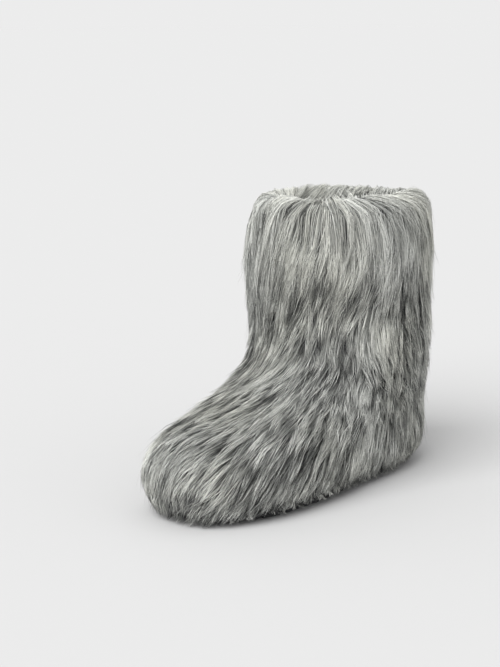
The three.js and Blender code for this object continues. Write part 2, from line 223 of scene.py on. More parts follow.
def pile_point(around, lift, proud):
    """The pile's outer surface, in millimetres. lift is below 0 down the hem, 0 to 1 up the boot,
    1 to 2 over the collar and 2 to 3 down inside. proud is the distance out from that surface."""
    around, lift, proud = (np.array(a, float) for a in np.broadcast_arrays(around, lift, proud))
    point = np.empty(around.shape + (3,))
    hem = lift <= 0
    a, drop, out = around[hem], -lift[hem], proud[hem]
    edge = shell_point(a, np.zeros_like(a), WALL + mix(PILE_FOOT, SOLE_REVEAL + PILE_HEM, drop ** 2) + out)
    edge[:, 2] = mix(edge[:, 2], HEM_HEIGHT, drop)
    point[hem] = edge
    body = (lift > 0) & (lift <= 1)
    point[body] = shell_point(around[body], lift[body], WALL + pile_depth(lift[body]) + proud[body])
    over = lift > 1
    a, out = around[over], proud[over]
    turn = np.minimum(lift[over] - 1, 1) * np.pi
    down = np.clip(lift[over] - 2, 0, 1.2)
    rim = shell_point(a, np.ones_like(a), WALL / 2)
    way = outward(a, np.ones_like(a))
    way[:, 2] = 0
    inside = mix(PILE_INSIDE, PILE_INSIDE / 2, down ** 2)
    reach = WALL / 2 + np.where(turn < np.pi / 2, PILE_SHAFT, inside)
    rim += unit(way) * (np.cos(turn) * (reach + out))[:, None]
    rim[:, 2] += np.sin(turn) * (RIM_RISE + out) - down * TURN_IN
    point[over] = rim
    return point


# Places where the hair stands fuller or lies flatter: place round the boot, lift, half widths in
# both, and height in mm. Along the collar's far rim it also stands higher.
FAR_RIM_RISE = 5
FULLNESS = (
    (0.55, 0.42, 0.09, 0.12, -5.0),
    (0.60, 0.85, 0.08, 0.22, 3.5),
    (0.20, 0.76, 0.09, 0.14, -3.5),
    (0.12, 0.40, 0.07, 0.14, 2.0),
    (0.10, -0.05, 0.07, 0.40, 5.5),
    (0.53, -0.20, 0.09, 0.45, 5.0),
    (0.40, 1.50, 0.20, 0.25, 1.5),
)


def hair_proud(around, lift):
    """How far the hair's own surface stands off the pile's: drawn in round the collar's outer corner,
    raised along its crest, most at the back, drawn in under the hem, and the full and flat places."""
    around, lift = np.broadcast_arrays(around, lift)
    proud = np.interp(
        lift,
        [-1.0, -0.4, 0.1, 0.84, 0.92, 1.0, 1.12, 1.3, 1.5, 1.75, 2.0, 2.5],
        [-6.0, -2.5, 0.0, 0.0, -1.0, -3.0, -4.0, -1.0, 3.0, 2.5, 1.5, 0.0],
    )
    proud = proud + FAR_RIM_RISE * far_side(around) * bell(lift, 1.55, 0.3)
    for centre, height, half_turn, half_lift, rise in FULLNESS:
        proud = proud + rise * bell(turn_off(around, centre), 0, half_turn) * bell(lift, height, half_lift)
    return proud


def frame_shift():
    """What moves the boot's own place to the frame's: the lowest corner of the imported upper's box,
    less that of the same upper worked out here."""
    around = np.arange(UPPER_COLUMNS)[None] / UPPER_COLUMNS
    rise = np.linspace(0, 1, UPPER_ROWS)[:, None]
    around, rise = np.broadcast_arrays(around, rise)
    low = shell_point(around, rise, np.full(around.shape, WALL)).reshape(-1, 3).min(0)
    return np.array(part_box("upper")[0]) / MM - low


SHIFT = frame_shift()


# Meshes
def pile_piece(name, points, faces, material):
    """A smooth mesh object on the boot's body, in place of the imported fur. points are in millimetres
    in the boot's own place, and faces are arrays of corners, one array for each number of corners."""
    mesh = bpy.data.meshes.new(name)
    points = np.asarray(points + SHIFT, np.float32) * MM
    mesh.vertices.add(len(points))
    mesh.vertices.foreach_set("co", points.ravel())
    totals = np.concatenate([np.full(len(f), f.shape[1], np.int32) for f in faces])
    corners = np.concatenate([f.ravel() for f in faces]).astype(np.int32)
    mesh.loops.add(len(corners))
    mesh.loops.foreach_set("vertex_index", corners)
    mesh.polygons.add(len(totals))
    starts = np.concatenate([[0], np.cumsum(totals)[:-1]]).astype(np.int32)
    mesh.polygons.foreach_set("loop_start", starts)
    mesh.polygons.foreach_set("loop_total", totals)
    mesh.update(calc_edges=True)
    mesh.polygons.foreach_set("use_smooth", np.full(len(totals), True))
    mesh.materials.append(bpy.data.materials[material])
    piece = bpy.data.objects.new(name, mesh)
    bpy.context.scene.collection.objects.link(piece)
    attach(piece, "root")
    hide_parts("fur")
    return piece


def set_attribute(piece, name, values):
    """A number for each point of a mesh, for its material to read."""
    attribute = piece.data.attributes.new(name, "FLOAT", "POINT")
    attribute.data.foreach_set("value", np.asarray(values, np.float32).ravel())


def ring_faces(rows, columns):
    """Quads of a grid that is closed both ways, round its columns and round its rows."""
    r = np.arange(rows)[:, None]
    c = np.arange(columns)[None]
    below, above = r * columns, (r + 1) % rows * columns
    ahead = (c + 1) % columns
    return np.stack([below + c, above + c, above + ahead, below + ahead], -1).reshape(-1, 4)


# Materials
def new_material(name):
    """An empty node material with its output and one principled shader."""
    material = bpy.data.materials.new(name)
    material.use_nodes = True
    tree = material.node_tree
    shader = tree.nodes["Principled BSDF"]
    return material, tree, shader


def node(tree, kind, settings=None, **inputs):
    """A node of a kind, with its settings and the values or links of its inputs."""
    made = tree.nodes.new(kind)
    for key, value in (settings or {}).items():
        setattr(made, key, value)
    for key, value in inputs.items():
        socket = made.inputs[int(key[1:])] if key[0] == "_" else made.inputs[key.replace("_", " ")]
        if isinstance(value, bpy.types.NodeSocket):
            tree.links.new(value, socket)
        else:
            socket.default_value = value
    return made


def set_values(shader, **values):
    """Plain numbers on the shader's own sockets."""
    for key, value in values.items():
        shader.inputs[key.replace("_", " ")].default_value = value


def own_number(tree, name):
    """The number of that name that the mesh carries at each point."""
    return node(tree, "ShaderNodeAttribute", {"attribute_name": name}).outputs["Fac"]


def maths(tree, operation, a, b, clamp=False):
    """One sum of two numbers or sockets."""
    return node(tree, "ShaderNodeMath", {"operation": operation, "use_clamp": clamp}, _0=a, _1=b).outputs[0]


def grain_group():
    """Fine noise on Object coordinates: a mask from 0 to 1, and its normal."""
    tree = bpy.data.node_groups.new("Grain", "ShaderNodeTree")
    for name, value in (("Scale", 300.0), ("Strength", 0.3), ("Distance", 0.0005)):
        tree.interface.new_socket(name, in_out="INPUT", socket_type="NodeSocketFloat").default_value = value
    tree.interface.new_socket("Mask", in_out="OUTPUT", socket_type="NodeSocketFloat")
    tree.interface.new_socket("Normal", in_out="OUTPUT", socket_type="NodeSocketVector")
    start = tree.nodes.new("NodeGroupInput")
    end = tree.nodes.new("NodeGroupOutput")
    place = tree.nodes.new("ShaderNodeTexCoord").outputs["Object"]
    noise = node(tree, "ShaderNodeTexNoise", Vector=place, Scale=start.outputs["Scale"], Detail=6.0)
    bump = node(
        tree, "ShaderNodeBump",
        Strength=start.outputs["Strength"], Distance=start.outputs["Distance"], Height=noise.outputs["Fac"],
    )
    tree.links.new(noise.outputs["Fac"], end.inputs["Mask"])
    tree.links.new(bump.outputs["Normal"], end.inputs["Normal"])
    return tree


def grain(tree, scale, strength, distance):
    """The shared grain, placed in a material with its own values."""
    group = bpy.data.node_groups.get("Grain") or grain_group()
    return node(
        tree, "ShaderNodeGroup", {"node_tree": group},
        Scale=scale, Strength=strength, Distance=distance,
    ).outputs


def colour_ramp(tree, factor, stops):
    """A ramp through plain colours, each at its place."""
    ramp = node(tree, "ShaderNodeValToRGB", Fac=factor)
    band = ramp.color_ramp
    for i, (place, colour) in enumerate(stops):
        stop = band.elements[i] if i < 2 else band.elements.new(place)
        stop.position = place
        stop.color = (*colour, 1)
    return ramp.outputs["Color"]


def hair_colour(tree, settings, tone, lightest):
    """The hair's colour at a tone: its three colours in a ramp, the lightest at its own place."""
    return colour_ramp(tree, tone, [
        (0.0, tuple(settings.root_colour)),
        (lightest, tuple(settings.tip_colour)),
        (0.45, tuple(settings.middle_colour)),
    ])


def pile_material(settings):
    """Guard hair: from a dark root to a light or dark tip by the strand's own tone, some of it warmer."""
    _, tree, shader = new_material("Pile")
    cool = hair_colour(tree, settings, own_number(tree, "tone"), 1.0)
    warm = own_number(tree, "warm")
    tint = node(tree, "ShaderNodeMix", {"data_type": "RGBA", "blend_type": "MULTIPLY"}, _0=warm)
    tree.links.new(cool, tint.inputs[6])
    tint.inputs[7].default_value = (*settings.warm_tint, 1)
    tree.links.new(tint.outputs[2], shader.inputs["Base Color"])
    set_values(shader, Roughness=0.5, Specular_IOR_Level=0.35, Sheen_Weight=0.15, Sheen_Roughness=0.4)


def underfur_material(settings):
    """The short dense wool under the hair: its own tone, a step darker, broken by fine fuzz."""
    _, tree, shader = new_material("Underfur")
    fuzz = grain(tree, 900.0, 0.8, 0.0012)
    tone = maths(tree, "MULTIPLY", own_number(tree, "tone"), 0.9)
    level = maths(tree, "ADD", tone, maths(tree, "MULTIPLY", fuzz["Mask"], 0.5))
    colour = hair_colour(tree, settings, maths(tree, "SUBTRACT", level, 0.45, True), 0.9)
    tree.links.new(colour, shader.inputs["Base Color"])
    tree.links.new(fuzz["Normal"], shader.inputs["Normal"])
    set_values(shader, Roughness=0.95, Sheen_Weight=0.3)


def cloth_material(name, colour, scale):
    """Brushed cloth: a fine mottle and a soft nap."""
    material, tree, shader = new_material(name)
    nap = grain(tree, scale, 0.5, 0.0006)
    light = tuple(min(1, c * 1.5) for c in colour)
    dark = tuple(c * 0.6 for c in colour)
    mottled = colour_ramp(tree, nap["Mask"], [(0.3, dark), (0.7, light)])
    tree.links.new(mottled, shader.inputs["Base Color"])
    tree.links.new(nap["Normal"], shader.inputs["Normal"])
    set_values(shader, Roughness=0.95, Sheen_Weight=0.35)
    return material


def rubber_material(settings):
    """Moulded rubber: a fine grain, and dust in it."""
    material, tree, shader = new_material("Rubber")
    skin = grain(tree, 700.0, 0.35, 0.0004)
    dust = grain(tree, 60.0, 0.0, 0.0)
    base = tuple(settings.rubber_colour)
    dusty = tuple(c * 1.8 + 0.01 for c in base)
    colour = colour_ramp(tree, dust["Mask"], [(0.4, base), (0.75, dusty)])
    tree.links.new(colour, shader.inputs["Base Color"])
    tree.links.new(skin["Normal"], shader.inputs["Normal"])
    rough = node(tree, "ShaderNodeMapRange", _0=dust["Mask"], _3=0.55, _4=0.8)
    tree.links.new(rough.outputs[0], shader.inputs["Roughness"])
    return material


# The flow and tone of the pile
# Lean of the hair in degrees from straight down, positive towards the toe on the outer side. Rows are
# lifts; columns are places round the outer side, from the heel to the toe. The inner side mirrors it.
LEAN_AROUND = (0.0, 0.12, 0.20, 0.25, 0.30, 0.36, 0.40, 0.45, 0.50)
LEAN_LIFT = (-1.0, 0.05, 0.14, 0.20, 0.28, 0.38, 0.50, 0.62, 0.72, 0.80, 0.88, 0.93, 0.98, 1.15, 1.5)
LEAN = np.array([
    [0, -40, -14, 10, 18, 36, 31, 26, 10],
    [0, -20, 10, 34, 27, 33, 30, 35, 20],
    [0, 10, 19, 30, 27, 25, 33, 32, 4],
    [0, 8, 6, 7, 14, 22, 34, 31, -2],
    [0, -13, -20, -19, -13, 3, 20, 15, 3],
    [0, -35, -41, -37, -35, -20, 0, 0, 7],
    [0, -34, -42, -38, -31, -31, -24, -8, 9],
    [0, -20, -23, -29, -26, -23, -20, -1, 12],
    [0, -12, 0, -4, -4, 16, 5, 16, 12],
    [0, -8, -2, 18, 33, 36, 20, 18, 4],
    [0, -6, 6, 14, 22, 25, 18, 8, 2],
    [0, -6, 10, 4, 12, 12, 10, 11, 4],
    [0, -8, -18, -20, -13, -5, 4, 14, 20],
    [0, -25, -36, -42, -34, -19, -8, 14, 37],
    [0, -50, -60, -60, -58, -50, -34, 20, 50],
])

# Seeds of the slow waves in the flow, the mottles, the hair's warmth, its puffs and the underfur's lumps
FLOW_SEED = 41
MOTTLE_SEED = 31
WARMTH_SEED = 61
PUFF_SEED = 5
LUMP_SEED = 71


def table_at(table, rows, columns, row, column):
    """A table's value between its rows and columns, by straight blends both ways."""
    i = np.clip(np.searchsorted(rows, row) - 1, 0, len(rows) - 2)
    j = np.clip(np.searchsorted(columns, column) - 1, 0, len(columns) - 2)
    rows, columns = np.array(rows), np.array(columns)
    u = np.clip((row - rows[i]) / (rows[i + 1] - rows[i]), 0, 1)
    v = np.clip((column - columns[j]) / (columns[j + 1] - columns[j]), 0, 1)
    return mix(mix(table[i, j], table[i, j + 1], v), mix(table[i + 1, j], table[i + 1, j + 1], v), u)


def lean_angle(around, lift, place):
    """The angle of the hair from straight down, towards +around: from the table, mirrored on the
    inner side, with slow waves over the surface, stronger at the shaft's top."""
    turn = around % 1
    side = 1 - 2 * smoothstep(turn, 0.48, 0.6)
    steady = side * table_at(LEAN, LEAN_LIFT, LEAN_AROUND, lift, np.minimum(turn, 1 - turn))
    swirl = 8 * waves(place, 60, FLOW_SEED) + 5 * waves(place, 24, FLOW_SEED + 1)
    swirl = swirl + 9 * smoothstep(lift, 0.85, 1.1) * waves(place, 34, FLOW_SEED + 2)
    return np.radians(steady + swirl * smoothstep(lift, -1, 0.1))


# Half steps that directions over the surface are measured with
SMALL_TURN = 0.002
SMALL_LIFT = 0.01

# Lighter and darker tufts of the pile, each a soft spot that is drawn out along the hair. Some of the
# darker spots are painted shade: a neighbouring boot's shadow down the front edge, and shade in the
# gaps between locks. Place round the boot, lift, half width and half length in mm, lean in degrees,
# and change of tone.
TUFTS_AND_SHADE = np.array([
    (0.511, 0.81, 3, 10, 10, -0.14),
    (0.499, 0.72, 7, 14, 10, 0.22),
    (0.583, 0.63, 6, 17, 30, -0.24),
    (0.542, 0.42, 8, 8, 25, -0.34),
    (0.536, 1.00, 10, 14, 15, -0.18),
    (0.537, 0.13, 4, 12, 15, -0.12),
    (0.469, 0.80, 3, 10, 10, -0.22),
    (0.454, 0.78, 7, 4, 20, -0.18),
    (0.476, 0.74, 6, 4, 20, -0.12),
    (0.431, 0.82, 5, 10, 20, -0.27),
    (0.419, 0.80, 4, 9, 10, -0.24),
    (0.411, 0.78, 4, 7, 5, -0.22),
    (0.371, 0.78, 7, 7, 10, -0.30),
    (0.350, 0.81, 6, 9, 30, -0.25),
    (0.336, 0.83, 5, 10, 10, -0.26),
    (0.335, 0.78, 6, 6, 0, 0.16),
    (0.269, 0.82, 5, 9, 5, -0.28),
    (0.261, 0.76, 7, 13, 5, -0.42),
    (0.224, 0.82, 6, 10, 0, -0.30),
    (0.214, 0.74, 5, 21, 0, -0.36),
    (0.226, 0.66, 5, 16, -25, -0.32),
    (0.381, 0.65, 5, 11, -5, -0.30),
    (0.414, 0.64, 4, 10, -5, -0.22),
    (0.379, 0.53, 3, 17, -30, -0.22),
    (0.479, 0.68, 5, 12, 10, -0.20),
    (0.350, 0.54, 7, 8, -30, -0.14),
    (0.311, 0.65, 9, 15, -10, 0.50),
    (0.333, 0.72, 10, 9, 0, 0.46),
    (0.372, 0.72, 5, 12, 5, 0.14),
    (0.433, 0.68, 5, 12, 5, 0.12),
    (0.299, 0.36, 7, 7, -35, 0.14),
    (0.353, 0.65, 4, 10, -10, 0.12),
    (0.422, 0.74, 3, 12, -10, 0.22),
    (0.374, 0.84, 7, 10, 10, 0.30),
    (0.474, 0.88, 7, 14, 5, 0.34),
    (0.353, 0.88, 7, 10, 5, 0.12),
    (0.258, 0.89, 7, 14, 0, 0.16),
    (0.296, 0.82, 5, 9, 10, 0.16),
    (0.443, 0.88, 6, 12, 5, 0.26),
    (0.419, 0.89, 3, 12, 5, 0.16),
    (0.401, 0.88, 6, 12, 5, 0.26),
    (0.386, 0.82, 4, 8, 5, 0.16),
    (0.294, 0.87, 7, 10, 5, 0.16),
    (0.286, 0.42, 5, 19, -35, 0.62),
    (0.153, 0.34, 3, 19, -50, 0.32),
    (0.135, -0.40, 5, 6, -50, 0.24),
    (0.204, 0.20, 6, 8, -25, 0.20),
    (0.519, 0.50, 10, 8, 30, 0.18),
    (0.488, 0.36, 12, 4, 5, 0.18),
    (0.475, 0.30, 9, 5, 10, 0.22),
    (0.424, 0.17, 10, 6, 30, 0.40),
    (0.447, 0.38, 10, 6, -5, 0.22),
    (0.469, 0.21, 7, 7, 10, 0.14),
    (0.518, 0.17, 8, 12, 10, 0.14),
    (0.369, 0.13, 5, 9, 25, 0.18),
    (0.419, 0.07, 8, 7, 30, 0.20),
    (0.390, 0.03, 6, 5, 35, 0.16),
    (0.453, 0.12, 6, 8, 35, 0.14),
    (0.419, 0.12, 3, 3, 35, -0.10),
    (0.450, 0.12, 6, 9, 35, 0.24),
    (0.482, 0.12, 6, 10, 30, 0.20),
    (0.526, 0.11, 6, 14, 15, 0.14),
    (0.461, 0.40, 3, 17, 25, -0.16),
    (0.469, 0.31, 3, 12, 0, -0.22),
    (0.460, 0.24, 3, 11, 25, -0.24),
    (0.419, 0.29, 3, 12, 25, -0.20),
    (0.393, 0.45, 5, 5, -20, -0.18),
    (0.338, 0.31, 5, 10, -20, -0.24),
    (0.336, 0.27, 4, 9, -15, -0.18),
    (0.274, 0.21, 5, 10, -10, -0.28),
    (0.338, 0.19, 4, 11, 20, -0.22),
    (0.407, 0.13, 3, 10, 35, -0.20),
    (0.342, 0.00, 10, 7, 25, -0.34),
    (0.286, 0.14, 5, 12, 20, -0.16),
    (0.253, 0.05, 6, 8, 10, -0.20),
    (0.235, 0.03, 14, 4, -5, -0.22),
    (0.172, -0.40, 11, 4, 20, -0.28),
    (0.486, -0.60, 5, 6, 10, -0.36),
    (0.444, 0.07, 9, 7, 20, -0.16),
    (0.229, 0.17, 3, 10, 0, -0.24),
    (0.169, 0.10, 5, 9, 0, -0.18),
    (0.190, 0.38, 3, 19, -45, -0.24),
    (0.074, 0.10, 3, 14, -55, -0.16),
    (0.104, -0.60, 3, 5, -55, -0.26),
    (0.393, 0.95, 3, 16, 5, -0.20),
    (0.374, 0.92, 3, 11, 0, -0.20),
    (0.489, 1.10, 3, 5, 20, -0.24),
    (0.251, 0.92, 3, 16, 5, -0.22),
    (0.293, 0.92, 3, 12, -10, -0.14),
    (0.331, 0.88, 3, 10, 5, -0.14),
    (0.447, 0.95, 4, 9, 5, -0.12),
    (0.537, 0.91, 3, 12, 10, -0.14),
    (0.519, 0.97, 3, 14, 30, 0.16),
    (0.492, 0.92, 3, 16, 10, 0.12),
    (0.451, 0.91, 3, 11, 5, 0.10),
    (0.375, 1.07, 3, 10, -15, 0.14),
    (0.350, 0.94, 3, 14, -5, 0.10),
    (0.307, 0.96, 3, 11, -15, 0.10),
    (0.244, 0.67, 5, 9, -15, -0.18),
    (0.446, 0.71, 7, 9, 5, 0.10),
    (0.174, 0.80, 4, 10, -5, -0.18),
    (0.250, 0.76, 7, 9, 0, -0.20),
    (0.249, 0.70, 6, 9, -10, -0.18),
    (0.590, 0.60, 5, 12, 10, -0.24),
    (0.537, 0.35, 7, 9, 15, -0.26),
    (0.165, -0.30, 7, 5, 30, 0.12),
    (0.297, 0.10, 7, 7, 25, -0.16),
    (0.263, 0.08, 7, 6, 15, -0.18),
    (0.322, 0.25, 4, 7, -10, -0.18),
    (0.517, 0.78, 7, 14, 20, 0.12),
    (0.475, 0.82, 5, 8, 10, 0.14),
    (0.374, 0.83, 7, 7, 10, 0.16),
    (0.339, 0.79, 5, 6, 0, 0.16),
    (0.300, 0.86, 6, 10, 5, 0.14),
    (0.258, 0.90, 6, 12, 0, 0.14),
    (0.282, 0.97, 10, 9, 5, 0.12),
    (0.472, 0.90, 6, 12, 5, 0.14),
    (0.326, 0.47, 5, 9, -30, 0.14),
    (0.260, 0.40, 5, 9, -40, 0.12),
    (0.286, 0.55, 5, 8, -25, 0.10),
    (0.511, 0.21, 7, 7, 10, 0.14),
    (0.442, 0.23, 5, 5, 10, 0.12),
    (0.546, -0.60, 5, 7, 20, -0.16),
    (0.407, 1.25, 9, 5, -10, -0.14),
    (0.485, 1.23, 9, 5, -20, -0.10),
    (0.201, 0.93, 4, 14, -5, -0.16),
    (0.588, 0.70, 5, 9, 35, -0.14),
])


def points_beside(around, lift):
    """Four points of the pile's surface close to a place: ahead and behind round the boot, and above
    and below."""
    sides = [pile_point(around + turn, lift, 0.0) for turn in (SMALL_TURN, -SMALL_TURN)]
    return *sides, *(pile_point(around, lift + climb, 0.0) for climb in (SMALL_LIFT, -SMALL_LIFT))


def tuft_and_shade_frames():
    """Centre of each tuft or painted shade spot, and the direction along it, from its place and its lean.
    """
    around, lift, turn = TUFTS_AND_SHADE[:, 0], TUFTS_AND_SHADE[:, 1], np.radians(TUFTS_AND_SHADE[:, 4])[:, None]
    ahead, behind, above, below = points_beside(around, lift)
    way = unit(below - above) * np.cos(turn) + unit(ahead - behind) * np.sin(turn)
    return pile_point(around, lift, 0.0), way


TUFT_AND_SHADE_CENTRES, TUFT_AND_SHADE_WAYS = tuft_and_shade_frames()


def tuft_and_shade_tone(place):
    """Sum of the tufts and painted shade spots at each place: a bell curve across and along each spot's own
    direction.
    """
    tone = np.zeros(place.shape[:-1])
    for centre, way, (half_width, half_length, _, change) in zip(TUFT_AND_SHADE_CENTRES, TUFT_AND_SHADE_WAYS, TUFTS_AND_SHADE[:, 2:]):
        off = place - centre
        run = off @ way
        aside = np.maximum((off ** 2).sum(-1) - run ** 2, 0)
        tone += change * np.exp(-aside / half_width ** 2 - (run / half_length) ** 2)
    return tone


def body_tone(around, lift, place):
    """Tone of the hair from 0, dark, to 1, light: by height, with painted light over the crest and
    inside the collar; a painted highlight on the instep's ridge; paler on the outer side; painted light
    on the far rim; painted shade down the front; with mottles of two sizes, fainter at the top."""
    # By height, darker towards the hem; the light tones over the crest and inside the collar are painted
    # light, where the collar's inside lies in shade.
    tone = np.interp(
        lift,
        [-1.0, -0.3, 0.0, 0.12, 0.3, 0.5, 0.62, 0.72, 0.80, 0.87, 0.95, 1.2, 1.5, 1.7, 2.0, 3.0],
        [0.28, 0.45, 0.62, 0.69, 0.68, 0.71, 0.77, 0.77, 0.77, 0.76, 0.69, 0.63, 0.67, 0.85, 0.85, 0.55],
    )
    # Painted highlight on the instep's ridge, which faces the light; the outer side is paler too.
    ridge = bell(around, 0.47, 0.09) * smoothstep(lift, 0.0, 0.1)
    side = bell(around, 0.29, 0.1) * smoothstep(lift, 0.2, 0.35)
    tone = tone + (0.06 * ridge + 0.06 * side) * (1 - smoothstep(lift, 0.55, 0.7))
    # Painted shade down the front, the shadow of a second boot beside it.
    front = bell(around, 0.56, 0.065) * (0.5 + 0.5 * smoothstep(lift, 0.3, 0.5))
    outer = bell(around, 0.22, 0.08) * smoothstep(lift, 0.84, 0.95)
    tone = tone + (0.08 * outer - 0.19 * front) * (1 - 0.5 * smoothstep(lift, 1.2, 1.6))
    mottle = 0.09 * waves(place, 46, MOTTLE_SEED) + 0.10 * waves(place, 22, MOTTLE_SEED + 1)
    tone = tone + mottle * (1 - 0.7 * smoothstep(lift, 0.78, 0.88))
    # Painted light over the far rim, whose inside lies in shade.
    return tone + 0.12 * far_side(around) * bell(lift, 1.6, 0.35)


# Guard hair. Depths are in millimetres. LOOSE_HAIRS, DARK_LOCKS (low on the boot, and at its top),
# the share of very dark hairs, which partly paint thin shadows between the hairs, and TAKEN_LOCKS are
# shares of them all. A STRENGTH multiplies what the tufts and the painted shade spots change.
GUIDE_STEPS = 9
UNDERFUR_DEPTH = 7
UNDERFUR_DEPTH_INSIDE = 3.5
FLOOR_CLEARANCE = 0.9
LOOSE_HAIRS = 0.12
DARK_LOCKS = (0.18, 0.08)
DARK_LOCK_TONE = 0.34
# Share of very dark hairs, partly dark hair and partly painted shade between the hairs, and how much darker
# they are
DARK_HAIRS_AND_SHADOWS = 0.13
DARK_HAIR_AND_SHADOW_TONE = 0.5
TAKEN_LOCKS = 0.55
TAKEN_STRENGTH = 2.6
SPARED_STRENGTH = 0.6
LIGHT_TUFT_STRENGTH = 1.9


def underfur_depth(lift):
    """How far the underfur lies below the pile's surface: less inside the collar, whose pile is short."""
    return mix(UNDERFUR_DEPTH, UNDERFUR_DEPTH_INSIDE, smoothstep(lift, 1.1, 1.5))


def scatter(low, high, spacing, rng):
    """Places for locks between two lifts: rows a spacing apart up the surface, and in each row even
    steps round the boot, all shaken."""
    heights = np.linspace(low, high, 400)
    side = np.stack([pile_point(a, heights, 0.0) for a in (0.0, 0.25, 0.5, 0.75)])
    steps = np.linalg.norm(np.diff(side, axis=1), axis=-1).mean(0)
    climbed = np.concatenate([[0], np.cumsum(steps)])
    rows = np.interp(np.arange(spacing / 2, climbed[-1], spacing), climbed, heights)
    turn = np.linspace(0, 1, 241)
    around, lift = [], []
    for height in rows:
        ring = pile_point(turn, height, 0.0)
        walked = np.concatenate([[0], np.cumsum(np.linalg.norm(np.diff(ring, axis=0), axis=-1))])
        count = int(walked[-1] / spacing)
        steps = (np.arange(count) + rng.uniform(0, 1) + rng.uniform(-0.45, 0.45, count)) / count
        around.append(np.interp(steps % 1, walked / walked[-1], turn))
        lift.append(height + rng.uniform(-0.5, 0.5, count) * spacing * (high - low) / climbed[-1])
    return np.concatenate(around), np.concatenate(lift)


def trace(around, lift, length, stray, inward):
    """Walks from each root over the pile's surface, GUIDE_STEPS times, down or, inside the collar, in.
    The angle from straight down turns halfway at each step from the last one to what the hair has at
    that place, plus the lock's own stray. Returns the places round and the lifts passed."""
    arounds, lifts = [around], [lift]
    step = length / GUIDE_STEPS
    sense = 1 if inward else -1
    angle = None
    for _ in range(GUIDE_STEPS):
        place, height = arounds[-1], lifts[-1]
        ahead, behind, above, below = points_beside(place, height)
        here = lean_angle(place, height, (ahead + behind) / 2) + stray
        angle = here if angle is None else mix(angle, here, 0.5)
        per_turn, per_lift = (np.linalg.norm(way, axis=-1) for way in (ahead - behind, above - below))
        arounds.append(place + step * np.sin(angle) * 2 * SMALL_TURN / per_turn)
        lifts.append(height + sense * step * np.cos(angle) * 2 * SMALL_LIFT / per_lift)
    return np.stack(arounds, 1), np.stack(lifts, 1)


def hem_end(around, rng):
    """The lift where the hair ends at the floor: a little higher along the outer side's arch."""
    arch = bell(turn_off(around, 0.28), 0, 0.09)
    return -1.2 + 0.38 * arch + rng.uniform(-0.08, 0.14, np.shape(around))


def guides(around, lift, length, puff, inward, rng):
    """Middle lines of locks: each leaves the underfur, comes up to the pile's surface and lies along
    it, its tip standing out by its puff. A lock that would pass the floor is shortened. Returns
    points, outward ways and sideways ways."""
    stray = rng.normal(0, 0.12, len(around))
    _, passed = trace(around, lift, length, stray, inward)
    end = hem_end(around, rng)
    room = (lift - end) / np.maximum(lift - passed[:, -1], 1e-6)
    length = np.where(passed[:, -1] < end, length * np.clip(room, 0.1, 1), length)
    arounds, lifts = trace(around, lift, length, stray, inward)
    t = np.linspace(0, 1, GUIDE_STEPS + 1)[None]
    depth = underfur_depth(lift)[:, None]
    proud = hair_proud(arounds, lifts) - depth * (1 - t) ** 2.6 + puff[:, None] * t ** 1.5
    points = pile_point(arounds, lifts, proud)
    out = unit(pile_point(arounds, lifts, 1.0) - pile_point(arounds, lifts, 0.0))
    ahead = np.gradient(points, axis=1)
    side = unit(np.cross(ahead, out))
    return points, out, side


def at_share(lines, share):
    """Points of each line at shares of its length, by straight interpolation between its own points."""
    place = share * (lines.shape[-2] - 1)
    row = np.clip(np.floor(place).astype(int), 0, lines.shape[-2] - 2)
    t = (place - row)[..., None]
    low = np.take_along_axis(lines, row[..., None], -2)
    high = np.take_along_axis(lines, row[..., None] + 1, -2)
    return mix(low, high, t)


def strands_from(points, out, side, hairs, spread, gather, rings, rng):
    """Hairs of each lock: copies of its middle line, moved sideways and outward inside a disc, drawn
    together towards the tip, each ending at its own length, with a slow waver. A few are loose: they
    stray from the lock and stand off it. Returns lines, outward ways and shares of the lock's length."""
    shape = (len(points), hairs)
    disc = spread * np.sqrt(rng.uniform(0, 1, shape))
    turn = rng.uniform(0, TAU, shape)
    across, depth = disc * np.cos(turn), 0.45 * disc * np.sin(turn)
    end = rng.uniform(0.62, 1.0, shape)
    start = rng.uniform(0.0, 0.12, shape)
    t = np.linspace(0, 1, rings + 1) ** 1.25
    share = start[..., None] + (end - start)[..., None] * t
    lines = (np.repeat(way[:, None], hairs, 1) for way in (points, out, side))
    middle, outs, sides = (at_share(line, share) for line in lines)
    outs, sides = unit(outs), unit(sides)
    loose = rng.uniform(0, 1, shape) < LOOSE_HAIRS
    hold = np.where(loose, 0.1, gather * rng.uniform(0.7, 1.1, shape))[..., None]
    keep = 1 - hold * share ** 1.3
    waver = rng.normal(0, 0.9, shape)[..., None] * np.sin(share * rng.uniform(3, 7, shape)[..., None])
    stray = np.where(loose, rng.normal(0, 3.0, shape), 0)[..., None] * share ** 2
    middle = middle + sides * (across[..., None] * keep + waver + stray)[..., None]
    lift_off = np.where(loose, rng.exponential(2.0, shape), 0)[..., None] * share ** 2
    middle = middle + outs * (depth[..., None] * keep + lift_off)[..., None]
    return middle.reshape(-1, rings + 1, 3), outs.reshape(-1, rings + 1, 3), share.reshape(-1, rings + 1)


